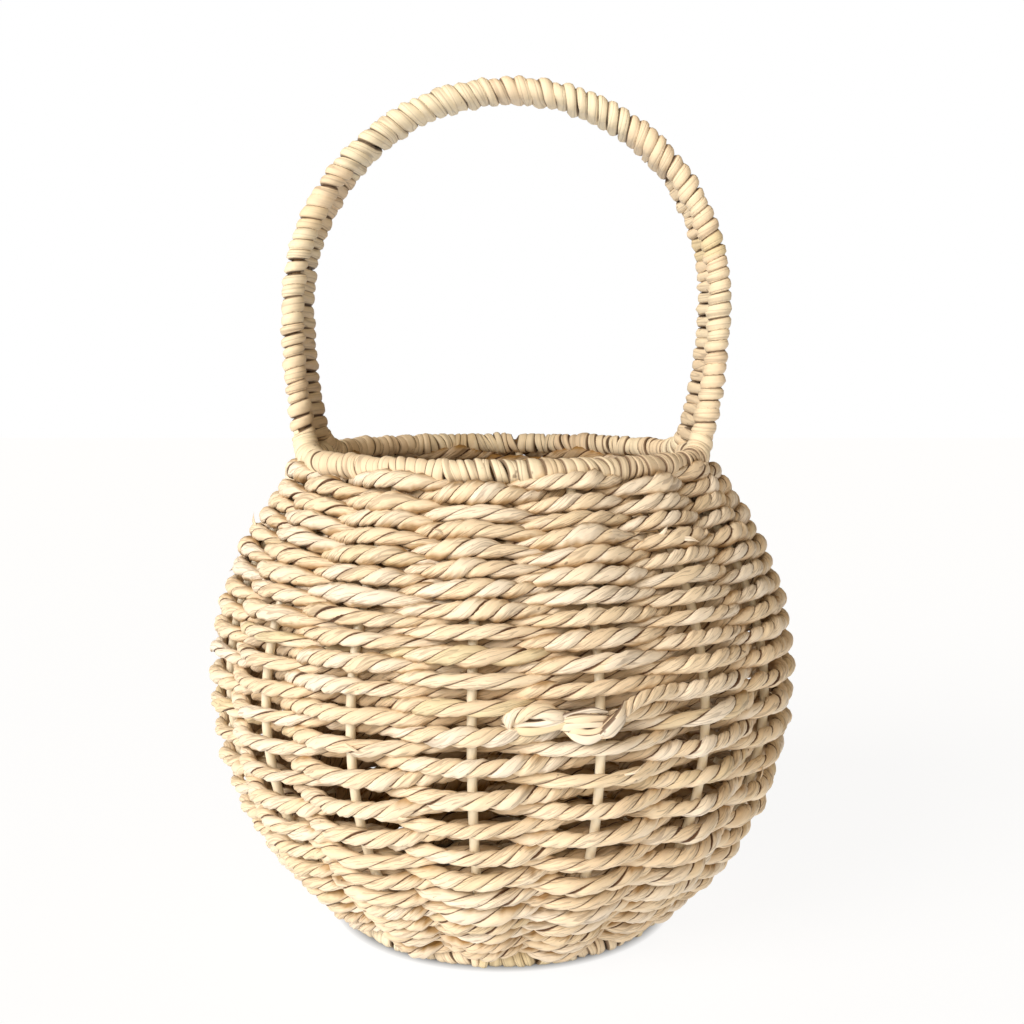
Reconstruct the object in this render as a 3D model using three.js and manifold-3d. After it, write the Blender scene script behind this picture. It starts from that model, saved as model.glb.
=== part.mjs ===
// Round gift basket: a wire cage shaped like a cut-off ball, woven with two twisted husk ropes,
// with its rim, foot and fixed handle bound in husk. Millimetres, +Z up, standing on Z = 0.
import * as THREE from "three";
import { mergeVertices } from "three/addons/utils/BufferGeometryUtils.js";
import Module from "manifold-3d";

// Sizes of the wire cage
const ballCentreHeight = 92;
const ballRadius = 103; // to the centre line of a rib
const ribCount = 16;
const firstRibTurn = THREE.MathUtils.degToRad(-95); // puts one rib just left of the front
const ribWireRadius = 1.6;
const hoopWireRadius = 1.8;
const rimHoopRadius = 73;
const rimHoopHeight = 173;
const footHoopRadius = 59.3;
const shoulderAngle = THREE.MathUtils.degToRad(38); // above it a rib leaves the ball for the rim
const heelAngle = THREE.MathUtils.degToRad(-46); // below it a rib leaves the ball for the foot
const bendReach = 8; // a rib keeps the ball's direction this far before it turns to its hoop

// Sizes of the handle
const bowArchRadius = 77.5;
const bowArchHeight = 229; // the arch's centre above the floor
const bowFootSpread = 19; // each bow's foot stands this far from the middle plane
const bowCrownSpread = 4.6; // and its crown this far
const bowLean = 2.8; // the crown sits this far to the right of the feet
const bowWireRadius = 1.8;

// Sizes of the weave
const rowCount = 48; // two ropes share them, so each one climbs two rows in a turn
const ropeDepth = 5; // through the wall
const ropeLengthCount = 3; // each rope is spliced from this many lengths
const weaveStart = 8; // first row, along the rib from its foot
const weaveEnd = 6.5; // last row, along the rib from the rim
const levelRows = 3; // this many rows at either end lie level instead of climbing
const stepUp = 0.2; // share of a row in which a level row steps up to the next
const looseRow = 20; // round this row, just below the belly, the rows lie furthest apart
const looseRowSpread = 6; // this many rows to either side of it
const looseRowExtra = 0.5; // share by which they open up
const rowGap = 0.45;
const ropeClearance = 0.7; // between a rope and the rib that it passes

// Sizes of the floor
const floorSpokeCount = 9;
const floorSpokeRadius = 1.25;
const floorHubRadius = 7;
const floorHubWireRadius = 1.25;
const floorRowCount = 7;
const floorRopeWidth = 5;
const floorRopeHeight = 3;

// Sizes of the husk bindings
const hoopBindingRadius = 3.8;
const handleBindingRadius = 4.4;
const bindingWaist = 0.5; // how much thinner a binding is between two of its turns
const footFlat = 0.6; // the foot's binding is worn flat this deep where it stands
const hoopBindingTurns = 30;
const handleBindingTurns = 28;
const handleWebThickness = 2.6;
const clearance = 0.3;

// How finely round things are cut
const wireSides = 6;
const ribSides = 5;
const ribSteps = 14;
const bowSteps = 26;
const hoopSteps = 36;
const ropeSides = 5;
const bindingSides = 8;
const boreSides = 6;

const husk = new THREE.MeshStandardMaterial({ color: 0xe3cda0, roughness: 0.85, metalness: 0 });
const huskBinding = new THREE.MeshStandardMaterial({ color: 0xd9c08e, roughness: 0.8, metalness: 0 });
const coatedWire = new THREE.MeshStandardMaterial({ color: 0xeae3cf, roughness: 0.5, metalness: 0.1 });

const wasm = await Module();
wasm.setup();

function solidFrom(geometry) {
  const bare = geometry.clone();
  bare.deleteAttribute("normal");
  bare.deleteAttribute("uv");
  const merged = mergeVertices(bare, 1e-4);
  return new wasm.Manifold(
    new wasm.Mesh({
      numProp: 3,
      vertProperties: merged.attributes.position.array,
      triVerts: new Uint32Array(merged.index.array),
    }),
  );
}

function geometryFrom(solid) {
  const mesh = solid.getMesh();
  const geometry = new THREE.BufferGeometry();
  geometry.setAttribute("position", new THREE.BufferAttribute(mesh.vertProperties, 3));
  geometry.setIndex(new THREE.BufferAttribute(mesh.triVerts, 1));
  geometry.computeVertexNormals();
  return geometry;
}

// The rib's line in its own upright plane: x is the distance from the axis, y the height.
const footHoopHeight = hoopBindingRadius - footFlat;

// A point on the ball, and one past it by a reach along the ball's direction there
function besideBall(angle, reach) {
  return new THREE.Vector2(
    ballRadius * Math.cos(angle) - reach * Math.sin(angle),
    ballCentreHeight + ballRadius * Math.sin(angle) + reach * Math.cos(angle),
  );
}

const heel = besideBall(heelAngle, 0);
const heelBend = besideBall(heelAngle, -bendReach);
const shoulderBend = besideBall(shoulderAngle, bendReach);
const meridian = new THREE.Path();
meridian.moveTo(footHoopRadius, footHoopHeight);
meridian.quadraticCurveTo(heelBend.x, heelBend.y, heel.x, heel.y);
meridian.absarc(0, ballCentreHeight, ballRadius, heelAngle, shoulderAngle, false);
meridian.quadraticCurveTo(shoulderBend.x, shoulderBend.y, rimHoopRadius, rimHoopHeight);
const meridianLength = meridian.getLength();

// A point of the cage: a share of the rib's line, a turn about the axis, and a step out of the wall.
function wallPoint(share, turn, out) {
  const onRib = meridian.getPointAt(share);
  const along = meridian.getTangentAt(share);
  const radius = onRib.x + along.y * out;
  return new THREE.Vector3(radius * Math.cos(turn), radius * Math.sin(turn), onRib.y - along.x * out);
}

// A curve that a function of its share draws
class DrawnCurve extends THREE.Curve {
  constructor(draw) {
    super();
    this.draw = draw;
  }

  getPoint(share) {
    return this.draw(share);
  }
}

function roundShape(radius, sides) {
  const corners = Array.from({ length: sides }, (_, i) => {
    const turn = ((i + 0.5) / sides) * 2 * Math.PI;
    return new THREE.Vector2(radius * Math.cos(turn), radius * Math.sin(turn));
  });
  return new THREE.Shape(corners);
}

function wireAlong(curve, radius, sides, steps) {
  return new THREE.ExtrudeGeometry(roundShape(radius, sides), {
    extrudePath: curve,
    steps,
    bevelEnabled: false,
  });
}

// Skins a row of rings, each a list of points, as one closed body; looped rings join end to start.
function skinRings(rings, looped) {
  const sides = rings[0].length;
  const positions = rings.flatMap((ring) => ring.flatMap((p) => [p.x, p.y, p.z]));
  const faces = [];
  const spans = looped ? rings.length : rings.length - 1;
  for (let i = 0; i < spans; i++) {
    const here = i * sides;
    const next = ((i + 1) % rings.length) * sides;
    for (let j = 0; j < sides; j++) {
      const k = (j + 1) % sides;
      faces.push(here + j, here + k, next + k, here + j, next + k, next + j);
    }
  }
  if (!looped) {
    const last = (rings.length - 1) * sides;
    for (let j = 1; j < sides - 1; j++) {
      faces.push(0, j + 1, j, last, last + j, last + j + 1);
    }
  }
  const geometry = new THREE.BufferGeometry();
  geometry.setAttribute("position", new THREE.Float32BufferAttribute(positions, 3));
  geometry.setIndex(faces);
  geometry.computeVertexNormals();
  return geometry;
}

// A ring of section points round a centre, in the plane of two directions
function sectionRing(centre, right, up, halfWidth, halfHeight, sides) {
  return Array.from({ length: sides }, (_, j) => {
    const turn = ((j + 0.5) / sides) * 2 * Math.PI;
    return centre
      .clone()
      .addScaledVector(right, halfWidth * Math.cos(turn))
      .addScaledVector(up, halfHeight * Math.sin(turn));
  });
}

const part = new THREE.Group();

function addPiece(name, geometry, material) {
  const mesh = new THREE.Mesh(geometry, material);
  mesh.name = name;
  part.add(mesh);
  return mesh;
}

// Wire cage: ribs butt on the foot hoop and on the rim hoop
const ribFromHoop = (hoopWireRadius + clearance) / meridianLength;

function ribCurve(turn, startShare, endShare) {
  return new DrawnCurve((share) => {
    const onRib = THREE.MathUtils.lerp(startShare, endShare, share);
    return wallPoint(onRib, turn, 0);
  });
}

function ribTurn(index) {
  return firstRibTurn + (index / ribCount) * 2 * Math.PI;
}

function hoop(radius, height, wireRadius, sides) {
  const geometry = new THREE.TorusGeometry(radius, wireRadius, sides, hoopSteps);
  return geometry.translate(0, 0, height);
}

// Handle: a bow's line, side -1 in front and +1 behind. Its legs curve slowly in to stand on the rim hoop.
const bowCrownHeight = bowArchHeight + bowArchRadius;
const bowFootReach = Math.sqrt(rimHoopRadius ** 2 - bowFootSpread ** 2);
const bowLegLength = bowArchHeight - rimHoopHeight;
const bowArchLength = Math.PI * bowArchRadius;
const bowLength = 2 * bowLegLength + bowArchLength;

function bowPoint(share, side) {
  const run = share * bowLength;
  let across;
  let height;
  if (run < bowLegLength || run > bowLength - bowLegLength) {
    const fromFoot = Math.min(run, bowLength - run);
    const belowArch = bowLegLength - fromFoot;
    across = THREE.MathUtils.lerp(bowArchRadius, bowFootReach, (belowArch / bowLegLength) ** 2);
    height = bowArchHeight - belowArch;
    if (run < bowLegLength) across = -across;
  } else {
    const turn = Math.PI - (run - bowLegLength) / bowArchRadius;
    across = bowArchRadius * Math.cos(turn);
    height = bowArchHeight + bowArchRadius * Math.sin(turn);
  }
  const rise = (height - rimHoopHeight) / (bowCrownHeight - rimHoopHeight);
  const spread = THREE.MathUtils.lerp(bowFootSpread, bowCrownSpread, rise);
  return new THREE.Vector3(across + bowLean * rise, side * spread, height);
}

const bowFromHoop = (hoopWireRadius + clearance) / bowLength;

function bowCurve(side, leftOff) {
  return new DrawnCurve((share) => bowPoint(THREE.MathUtils.lerp(leftOff, 1 - leftOff, share), side));
}

for (let i = 0; i < ribCount; i++) {
  const name = `rib_${String(i + 1).padStart(2, "0")}`;
  const curve = ribCurve(ribTurn(i), ribFromHoop, 1 - ribFromHoop);
  addPiece(name, wireAlong(curve, ribWireRadius, ribSides, ribSteps), coatedWire);
}
addPiece("rim_hoop", hoop(rimHoopRadius, rimHoopHeight, hoopWireRadius, wireSides), coatedWire);
addPiece("foot_hoop", hoop(footHoopRadius, footHoopHeight, hoopWireRadius, wireSides), coatedWire);
addPiece("front_bow", wireAlong(bowCurve(-1, bowFromHoop), bowWireRadius, wireSides, bowSteps), coatedWire);
addPiece("rear_bow", wireAlong(bowCurve(1, bowFromHoop), bowWireRadius, wireSides, bowSteps), coatedWire);

// Floor: spokes on top of the foot hoop, held by a small hub ring, under one flat woven rope
const spokeHeight = footHoopHeight + hoopWireRadius + clearance + floorSpokeRadius;
const spokeStart = floorHubRadius + floorHubWireRadius + clearance;

function spokeTurn(index) {
  return ribTurn(0.5) + (index / floorSpokeCount) * 2 * Math.PI;
}

function spoke(index, radius, from, to) {
  const turn = spokeTurn(index);
  const out = new THREE.Vector3(Math.cos(turn), Math.sin(turn), 0);
  const start = out.clone().multiplyScalar(from).setZ(spokeHeight);
  const end = out.clone().multiplyScalar(to).setZ(spokeHeight);
  return wireAlong(new THREE.LineCurve3(start, end), radius, wireSides, 1);
}

for (let i = 0; i < floorSpokeCount; i++) {
  addPiece(`floor_spoke_${i + 1}`, spoke(i, floorSpokeRadius, spokeStart, footHoopRadius), coatedWire);
}
const hubRing = new THREE.TorusGeometry(floorHubRadius, floorHubWireRadius, wireSides, 2 * floorSpokeCount);
addPiece("floor_hub", hubRing.translate(0, 0, spokeHeight), coatedWire);

function floorWeave() {
  const first = spokeStart + floorRopeWidth / 2 + clearance;
  const last = footHoopRadius - hoopBindingRadius - floorRopeWidth / 2 - 3 * clearance;
  const lift = floorSpokeRadius + clearance + floorRopeHeight / 2;
  const steps = floorRowCount * 2 * floorSpokeCount;
  const up = new THREE.Vector3(0, 0, 1);
  const rings = [];
  for (let i = 0; i <= steps; i++) {
    const turn = spokeTurn(0) + (i / (2 * floorSpokeCount)) * 2 * Math.PI;
    const out = new THREE.Vector3(Math.cos(turn), Math.sin(turn), 0);
    const radius = THREE.MathUtils.lerp(first, last, i / steps);
    const weave = Math.cos((i * Math.PI) / 2) * lift;
    const centre = out.clone().multiplyScalar(radius).setZ(spokeHeight + weave);
    rings.push(sectionRing(centre, out, up, floorRopeWidth / 2, floorRopeHeight / 2, ropeSides));
  }
  return skinRings(rings.reverse(), false);
}
addPiece("floor_weaver", floorWeave(), husk);

// Side weave: two ropes chase each other up the cage, half a turn apart, one starting at each side.
// At each rib one passes outside and the other inside.
const weaveLength = meridianLength - weaveStart - weaveEnd;

function rowLooseness(row) {
  return 1 + looseRowExtra * Math.exp(-(((row - looseRow) / looseRowSpread) ** 2));
}

const rowSums = [0];
for (let row = 1; row < rowCount; row++) rowSums.push(rowSums[row - 1] + rowLooseness(row - 0.5));
const tightPitch = weaveLength / rowSums[rowCount - 1];

function rowShare(row) {
  const below = Math.min(Math.floor(row), rowCount - 2);
  const sum = THREE.MathUtils.lerp(rowSums[below], rowSums[below + 1], row - below);
  return (weaveStart + tightPitch * sum) / meridianLength;
}

// The first rows lie level and step up where the other rope starts, the last ones where it ends.
function levelled(row) {
  const whole = Math.floor(row);
  const fraction = row - whole;
  const atFoot = whole + THREE.MathUtils.smoothstep(fraction, 1 - stepUp, 1);
  const atRim = Math.min(whole + THREE.MathUtils.smoothstep(fraction, 0, stepUp), rowCount - 1);
  const nearFoot = 1 - THREE.MathUtils.smoothstep(row, 0, levelRows);
  const nearRim = THREE.MathUtils.smoothstep(row, rowCount - 1 - levelRows, rowCount - 1);
  return row + nearFoot * (atFoot - row) + nearRim * (atRim - row);
}

// A rope's section where it passes a rib
function ropeRing(order, step) {
  const reach = ribWireRadius + ropeClearance + ropeDepth / 2;
  const startRib = ribCount / 4 + (order * ribCount) / 2;
  const turn = ribTurn(startRib + step);
  const row = (2 * step) / ribCount;
  const share = rowShare(levelled(row));
  const outside = (step + order) % 2 === 0 ? 1 : -1;
  const centre = wallPoint(share, turn, outside * reach);
  const out = wallPoint(share, turn, outside * reach + 1).sub(centre);
  const along = new THREE.Vector3(-Math.sin(turn), Math.cos(turn), 0);
  const up = new THREE.Vector3().crossVectors(out, along);
  const halfHeight = (tightPitch * rowLooseness(row) - rowGap) / 2;
  return sectionRing(centre, out, up, ropeDepth / 2, halfHeight, ropeSides);
}

// The section at any share of the way from one rib to the next
function ropeRingBetween(order, step) {
  const rib = Math.floor(step);
  if (rib === step) return ropeRing(order, rib);
  const next = ropeRing(order, rib + 1);
  return ropeRing(order, rib).map((point, i) => point.lerp(next[i], step - rib));
}

const lastRopeStep = Math.floor(((rowCount - 1) * ribCount) / 2);
const ropeStepLength = (2 * Math.PI * ballRadius) / ribCount;
const spliceGap = (1.5 * clearance) / ropeStepLength;

// Two lengths meet half way between two ribs.
function spliceStep(index) {
  if (index === 0) return 0;
  if (index === ropeLengthCount) return lastRopeStep;
  return Math.round((index * lastRopeStep) / ropeLengthCount) + 0.5;
}

function sideWeaver(order, index) {
  const from = spliceStep(index) + (index > 0 ? spliceGap / 2 : 0);
  const to = spliceStep(index + 1) - (index < ropeLengthCount - 1 ? spliceGap / 2 : 0);
  const rings = [ropeRingBetween(order, from)];
  for (let step = Math.floor(from) + 1; step < to; step++) rings.push(ropeRing(order, step));
  rings.push(ropeRingBetween(order, to));
  return skinRings(rings.reverse(), false);
}

for (let i = 0; i < ropeLengthCount; i++) {
  addPiece(`side_weaver_a_${i + 1}`, sideWeaver(0, i), husk);
  addPiece(`side_weaver_b_${i + 1}`, sideWeaver(1, i), husk);
}

// Bindings: husk wound round a wire, drawn as a sleeve with a waist between its turns
function hoopSleeve(radius, height, spare) {
  const rings = [];
  for (let i = 0; i < 2 * hoopBindingTurns; i++) {
    const turn = (i / (2 * hoopBindingTurns)) * 2 * Math.PI;
    const thickness = hoopBindingRadius - (i % 2) * bindingWaist + spare;
    const out = new THREE.Vector3(Math.cos(turn), Math.sin(turn), 0);
    const centre = out.clone().multiplyScalar(radius).setZ(height);
    const half = thickness / Math.cos(Math.PI / bindingSides);
    rings.push(sectionRing(centre, out, new THREE.Vector3(0, 0, 1), half, half, bindingSides));
  }
  return solidFrom(skinRings(rings.reverse(), true));
}

const bore = hoopWireRadius + clearance;
const rimBore = solidFrom(hoop(rimHoopRadius, rimHoopHeight, bore, boreSides));
const footBore = solidFrom(hoop(footHoopRadius, footHoopHeight, bore, boreSides));
const ribHoles = Array.from({ length: ribCount }, (_, i) =>
  solidFrom(wireAlong(ribCurve(ribTurn(i), 0, 1), ribWireRadius + clearance, ribSides, ribSteps)),
);
const spokeHoles = Array.from({ length: floorSpokeCount }, (_, i) =>
  solidFrom(spoke(i, floorSpokeRadius + clearance, spokeStart, footHoopRadius + clearance)),
);
const bowHoles = [-1, 1].map((side) =>
  solidFrom(wireAlong(bowCurve(side, 0), bowWireRadius + clearance, wireSides, bowSteps)),
);

function cutAll(body, cutters) {
  return cutters.reduce((left, cutter) => left.subtract(cutter), body);
}

const rimSleeve = hoopSleeve(rimHoopRadius, rimHoopHeight, 0);
const rimBinding = cutAll(rimSleeve, [rimBore, ...ribHoles, ...bowHoles]);
addPiece("rim_binding", geometryFrom(rimBinding), huskBinding);
const ground = new THREE.BoxGeometry(4 * footHoopRadius, 4 * footHoopRadius, footHoopRadius);
const belowGround = solidFrom(ground.translate(0, 0, -footHoopRadius / 2));
const footSleeve = hoopSleeve(footHoopRadius, footHoopHeight, 0);
const footBinding = cutAll(footSleeve, [footBore, belowGround, ...ribHoles, ...spokeHoles]);
addPiece("foot_binding", geometryFrom(footBinding), huskBinding);

// The handle's binding passes round both bows in a figure of eight, so a web joins its two sleeves.
const bindingStart = bowFromHoop;

function bowSleeve(side) {
  const rings = [];
  const steps = 2 * handleBindingTurns;
  for (let i = 0; i <= steps; i++) {
    const share = THREE.MathUtils.lerp(bindingStart, 1 - bindingStart, i / steps);
    const centre = bowPoint(share, side);
    const step = 0.5 / steps;
    const along = bowPoint(Math.min(share + step, 1), side).sub(bowPoint(Math.max(share - step, 0), side));
    along.normalize();
    const back = new THREE.Vector3(0, 1, 0).addScaledVector(along, -along.y).normalize();
    const out = new THREE.Vector3().crossVectors(back, along);
    const half = handleBindingRadius - (i % 2) * bindingWaist;
    rings.push(sectionRing(centre, out, back, half, half, bindingSides));
  }
  return solidFrom(skinRings(rings, false));
}

function handleWeb() {
  const rings = [];
  for (let i = 0; i <= bowSteps; i++) {
    const share = THREE.MathUtils.lerp(bindingStart, 1 - bindingStart, i / bowSteps);
    const front = bowPoint(share, -1);
    const rear = bowPoint(share, 1);
    const middle = front.clone().lerp(rear, 0.5);
    const outward = new THREE.Vector3(middle.x, 0, middle.z - bowArchHeight);
    if (middle.z < bowArchHeight) outward.z = 0;
    outward.normalize().multiplyScalar(handleWebThickness / 2);
    rings.push([
      front.clone().add(outward),
      rear.clone().add(outward),
      rear.clone().sub(outward),
      front.clone().sub(outward),
    ]);
  }
  return solidFrom(skinRings(rings.reverse(), false));
}

const rimRoom = hoopSleeve(rimHoopRadius, rimHoopHeight, clearance);
const handleSleeves = bowSleeve(-1).add(bowSleeve(1)).add(handleWeb());
const handleBinding = cutAll(handleSleeves, [rimRoom, ...bowHoles]);
addPiece("handle_binding", geometryFrom(handleBinding), huskBinding);

export default part;
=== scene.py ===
import math

import bpy
import numpy as np
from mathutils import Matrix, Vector


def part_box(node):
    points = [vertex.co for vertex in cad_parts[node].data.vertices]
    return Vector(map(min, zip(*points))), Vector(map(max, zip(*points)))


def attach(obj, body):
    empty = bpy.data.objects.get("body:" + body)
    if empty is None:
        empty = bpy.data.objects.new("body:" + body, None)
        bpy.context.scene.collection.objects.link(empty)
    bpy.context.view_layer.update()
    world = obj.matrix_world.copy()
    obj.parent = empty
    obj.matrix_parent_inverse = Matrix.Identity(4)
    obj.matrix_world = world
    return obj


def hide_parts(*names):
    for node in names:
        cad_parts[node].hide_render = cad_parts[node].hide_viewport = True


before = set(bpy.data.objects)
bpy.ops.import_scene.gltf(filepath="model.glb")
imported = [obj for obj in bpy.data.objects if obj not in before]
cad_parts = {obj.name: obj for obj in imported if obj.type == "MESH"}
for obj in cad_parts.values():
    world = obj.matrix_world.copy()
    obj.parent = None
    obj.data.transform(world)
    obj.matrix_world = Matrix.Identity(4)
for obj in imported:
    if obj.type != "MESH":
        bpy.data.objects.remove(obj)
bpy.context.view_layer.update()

mm = 0.001

# The wire cage. Lengths are in millimetres here and in every dictionary below.
rimLow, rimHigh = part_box("rim_hoop")
footLow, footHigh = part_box("foot_hoop")
cage = {
    "ballCentre": 92.0,      # height
    "ballRadius": 103.0,     # to the middle of a rib wire
    "shoulder": 38.0,        # degrees above the belly where a rib leaves the ball
    "heel": -46.0,           # and below it
    "bendReach": 8.0,        # a rib keeps the ball's direction this far before it turns to its hoop
    "tailPoints": 80,        # on each stretch from the ball to a hoop
    "ribs": 16,
    "firstRib": -95.0,       # degrees, one rib stands just left of the front
    "ribWire": 1.6,          # radius
    "hoopWire": 1.8,
}
rimHoop = {"radius": (rimHigh[0] - rimLow[0]) / 2 / mm - cage["hoopWire"],
           "height": (rimHigh[2] + rimLow[2]) / 2 / mm}
footHoop = {"radius": (footHigh[0] - footLow[0]) / 2 / mm - cage["hoopWire"],
            "height": (footHigh[2] + footLow[2]) / 2 / mm}


def clearSelection():
    if bpy.context.object and bpy.context.object.mode != "OBJECT":
        bpy.ops.object.mode_set(mode="OBJECT")
    bpy.ops.object.select_all(action="DESELECT")


# Colours and shader nodes

def linear(hexColour):
    channels = [int(hexColour[i:i + 2], 16) / 255 for i in (1, 3, 5)]
    return [c / 12.92 if c <= 0.04045 else ((c + 0.055) / 1.055) ** 2.4 for c in channels] + [1.0]


def addNode(tree, kind, settings=None, links=None):
    node = tree.nodes.new(kind)
    for name, value in (settings or {}).items():
        if isinstance(name, int) or name in node.inputs:
            node.inputs[name].default_value = value
        else:
            setattr(node, name, value)
    for name, source in (links or {}).items():
        tree.links.new(source, node.inputs[name])
    return node


mixA, mixB, mixOut = 6, 7, 2     # a colour Mix node's own sockets


def newMaterial(name):
    material = bpy.data.materials.new(name)
    material.use_nodes = True
    material.node_tree.nodes.clear()
    return material, material.node_tree


def finishMaterial(tree, shader):
    output = addNode(tree, "ShaderNodeOutputMaterial")
    tree.links.new(shader.outputs[0], output.inputs["Surface"])


# Dried water hyacinth or corn husk, split, folded and twisted by hand: matt, with a soft waxy gleam along
# its fibres
huskFinish = {
    "pale": "#F8EBD7", "straw": "#F4DFBE", "rosy": "#F0D9B8", "olive": "#E5D4AC",
    # painted shade: crease darkens the creases, and deep the room between ropes, where shade falls
    "crease": "#563311",     # light that comes back out of a crease, by how much it dims each colour
    "deep": "#A88A58",       # the same for light that comes back from between the ropes
    "line": 0.95,            # how dark the crisp line in a crease is
    "fibre": (0.55, 14.0),   # mm from one fibre to the next, across the leaf and along it
    "fold": (2.4, 55.0),     # the same for the folds of a leaf
    "speck": (2.4, 4.0),     # and for the small brown specks that some leaves have
    "streak": (1.05, 0.86),  # how bright the palest and the darkest fibres are
    "foldLine": 0.4,         # how dark a fold's hairline is
    "speckDark": 0.6,
    "relief": 0.35,          # of the fibres and folds
    "roughness": 0.6,
}


def buildHusk(name, finish):
    material, tree = newMaterial(name)
    uv = addNode(tree, "ShaderNodeUVMap", {"uv_map": "leaf"})
    tone, crease, dark = (addNode(tree, "ShaderNodeAttribute", {"attribute_name": label}).outputs["Fac"]
                          for label in ("tone", "crease", "shade"))
    # fibres run along the leaf, so each pattern is stretched along v
    noises = {"fibre": {"Detail": 3.0, "Roughness": 0.6},
              "fold": {"Detail": 1.2, "Roughness": 0.5, "Distortion": 0.1},
              "speck": {"Detail": 2.0}}
    patterns = {}
    for label, settings in noises.items():
        across, length = finish[label]
        place = addNode(tree, "ShaderNodeMapping", {"Scale": (1 / (across * mm), 1 / (length * mm), 1.0)},
                        {"Vector": uv.outputs["UV"]})
        noise = addNode(tree, "ShaderNodeTexNoise", dict(settings, Scale=1.0), {"Vector": place.outputs[0]})
        patterns[label] = noise.outputs["Fac"]
    # crease tint: painted shade in creases, and also the leaf's own fold hairlines and specks
    dimming = {"data_type": "RGBA", "blend_type": "MULTIPLY", mixB: linear(finish["crease"])}
    # a fold is a hairline where its pattern crosses its middle value
    offFold = addNode(tree, "ShaderNodeMath", {"operation": "SUBTRACT", 1: 0.5}, {0: patterns["fold"]})
    fromFold = addNode(tree, "ShaderNodeMath", {"operation": "ABSOLUTE"}, {0: offFold.outputs[0]})
    # a leaf's own shade: pale, straw, rosy or olive
    leaf = addNode(tree, "ShaderNodeValToRGB", None, {"Fac": tone})
    ramp = leaf.color_ramp
    stops = [(0.0, "pale"), (0.5, "straw"), (0.8, "rosy"), (1.0, "olive")]
    while len(ramp.elements) < len(stops):
        ramp.elements.new(0.5)
    for element, (position, shade) in zip(ramp.elements, stops):
        element.position = position
        element.color = linear(finish[shade])
    palest, darkest = finish["streak"]
    streak = addNode(tree, "ShaderNodeMapRange",
                     {"From Min": 0.3, "From Max": 0.75, "To Min": palest, "To Max": darkest},
                     {"Value": patterns["fibre"]})
    streaked = addNode(tree, "ShaderNodeVectorMath", {"operation": "SCALE"},
                       {"Vector": leaf.outputs["Color"], "Scale": streak.outputs[0]})
    foldLine = addNode(tree, "ShaderNodeMapRange",
                       {"From Min": 0.0, "From Max": 0.03, "To Min": finish["foldLine"], "To Max": 0.0},
                       {"Value": fromFold.outputs[0]})
    folded = addNode(tree, "ShaderNodeMix", dimming, {0: foldLine.outputs[0], mixA: streaked.outputs[0]})
    speckShade = addNode(tree, "ShaderNodeMapRange",
                         {"From Min": 0.71, "From Max": 0.77, "To Min": 0.0, "To Max": finish["speckDark"]},
                         {"Value": patterns["speck"]})
    specked = addNode(tree, "ShaderNodeMix", dimming,
                      {0: speckShade.outputs[0], mixA: folded.outputs[mixOut]})
    # painted shade: shade tints the colour towards deep, and crease draws the dark line in each crease
    shaded = addNode(tree, "ShaderNodeMix", {**dimming, mixB: linear(finish["deep"])},
                     {0: dark, mixA: specked.outputs[mixOut]})
    line = addNode(tree, "ShaderNodeMapRange", {"To Max": finish["line"]}, {"Value": crease})
    lined = addNode(tree, "ShaderNodeMix", dimming, {0: line.outputs[0], mixA: shaded.outputs[mixOut]})
    groove = addNode(tree, "ShaderNodeMapRange",
                     {"From Min": 0.0, "From Max": 0.05, "To Min": 0.0, "To Max": 0.6},
                     {"Value": fromFold.outputs[0]})
    height = addNode(tree, "ShaderNodeMath", {"operation": "MULTIPLY_ADD", 1: 0.5},
                     {0: patterns["fibre"], 2: groove.outputs[0]})
    bump = addNode(tree, "ShaderNodeBump", {"Strength": 0.55, "Distance": finish["relief"] * mm},
                   {"Height": height.outputs[0]})
    shader = addNode(tree, "ShaderNodeBsdfPrincipled",
                     {"Roughness": finish["roughness"], "IOR": 1.45, "Specular IOR Level": 0.3,
                      "Sheen Weight": 0.04, "Sheen Roughness": 0.5},
                     {"Base Color": lined.outputs[mixOut], "Normal": bump.outputs[0]})
    finishMaterial(tree, shader)
    return material


# Mild steel wire dipped in off-white enamel: smooth, satin, a little uneven where the dip ran
wireFinish = {
    "coat": "#FFF6DF", "shade": "#FDEFD0",
    "run": 6.0, "relief": 0.2,       # mm from one run of the dip to the next, and how far they stand out
    "roughness": 0.42,
}


def buildWireCoat(name, finish):
    material, tree = newMaterial(name)
    place = addNode(tree, "ShaderNodeTexCoord")
    run = addNode(tree, "ShaderNodeTexNoise", {"Scale": 1 / (finish["run"] * mm), "Detail": 3.0},
                  {"Vector": place.outputs["Object"]})
    coat = addNode(tree, "ShaderNodeMix",
                   {"data_type": "RGBA", mixA: linear(finish["coat"]), mixB: linear(finish["shade"])},
                   {0: run.outputs["Fac"]})
    bump = addNode(tree, "ShaderNodeBump", {"Strength": 0.15, "Distance": finish["relief"] * mm},
                   {"Height": run.outputs["Fac"]})
    shader = addNode(tree, "ShaderNodeBsdfPrincipled",
                     {"Roughness": finish["roughness"], "IOR": 1.5,
                      "Coat Weight": 0.2, "Coat Roughness": 0.25},
                     {"Base Color": coat.outputs[mixOut], "Normal": bump.outputs[0]})
    finishMaterial(tree, shader)
    return material


woundFinish = dict(huskFinish, pale="#F7E8C8", olive="#E5D2A6", fold=(2.3, 55.0), foldLine=0.33)
hiddenWireShadeFinish = dict(wireFinish, coat="#8E6C3E", shade="#72552D")     # painted shade: the wires that lie inside the husk are coated dark brown
huskRope = buildHusk("twistedHusk", huskFinish)
huskStrip = buildHusk("woundHusk", woundFinish)
wireCoat = buildWireCoat("dippedWire", wireFinish)
hiddenWireShadeCoat = buildWireCoat("hiddenWireShade", hiddenWireShadeFinish)
print("materials ready")


# Lines and directions, as arrays of points

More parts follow.
